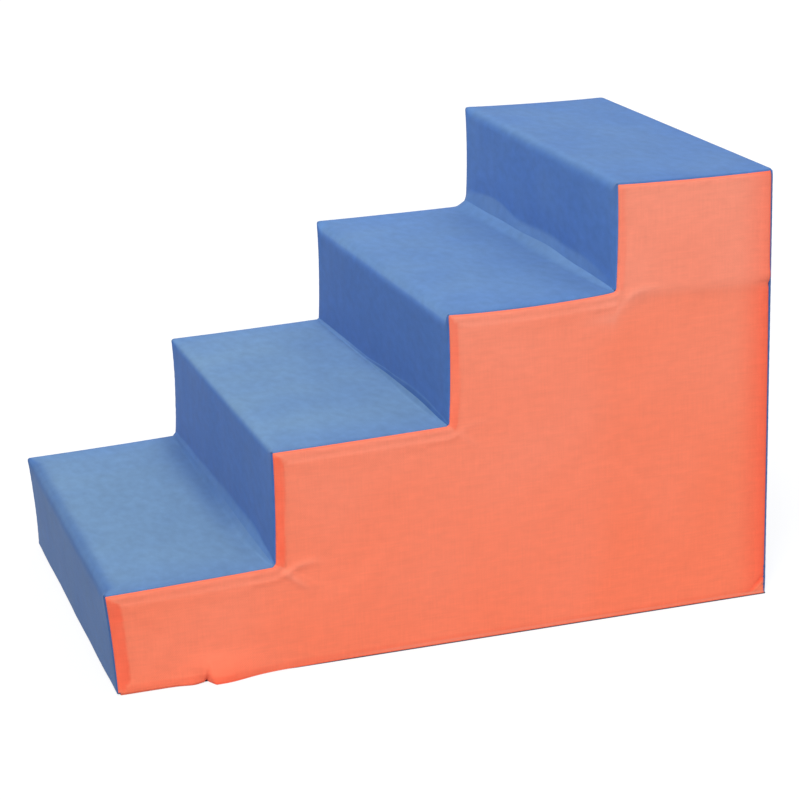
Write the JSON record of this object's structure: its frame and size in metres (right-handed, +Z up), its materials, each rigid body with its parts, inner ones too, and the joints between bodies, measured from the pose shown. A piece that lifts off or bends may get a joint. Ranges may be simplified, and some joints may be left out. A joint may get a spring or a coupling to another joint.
{
  "type": "pet stairs",
  "caption": "Foam pet stairs with a sewn two-colour cover, rounded tread edges and a concealed zipper round the bottom edge.",
  "frame": {"origin": "middle of the base, on the floor that the stairs stand on", "axes": "+Z up, +Y the way a pet climbs, from the lowest step to the back, +X to the right of a pet that climbs"},
  "size_m": [0.387, 0.612, 0.4],
  "materials": {
    "foam": "matte",
    "tread_cloth": "matte",
    "side_cloth": "matte",
    "base_cloth": "matte",
    "zipper_tape": "matte",
    "zipper_coil": "satin",
    "zipper_metal": "satin"
  },
  "bodies": {
    "stairs": {"foam_slab_1": "foam", "foam_slab_2": "foam", "foam_slab_3": "foam", "foam_slab_4": "foam", "step_panel_1": "tread_cloth", "step_panel_2": "tread_cloth", "step_panel_3": "tread_cloth", "step_panel_4": "tread_cloth", "side_panel_right": "side_cloth", "side_panel_left": "side_cloth", "back_panel": "tread_cloth", "base_panel": "base_cloth", "zipper_tape_upper": "zipper_tape", "zipper_tape_lower": "zipper_tape", "zipper_coil_upper": "zipper_coil", "zipper_coil_lower": "zipper_coil", "zipper_top_stops": "zipper_metal", "zipper_bottom_stop": "zipper_metal"},
    "slider": {"slider_body": "zipper_metal"},
    "pull": {"slider_pull": "zipper_metal"}
  },
  "joints": [
    {"name": "slider_slide", "type": "slide", "parent": "stairs", "child": "slider", "axis": [0, 1, 0], "range_m": [0, 0.49]},
    {"name": "pull_swing", "type": "hinge", "parent": "slider", "child": "pull", "pos_m": [-0.19235, -0.219, 0.0049], "axis": [0, 0, 1], "range_deg": [0, 150]}
  ]
}
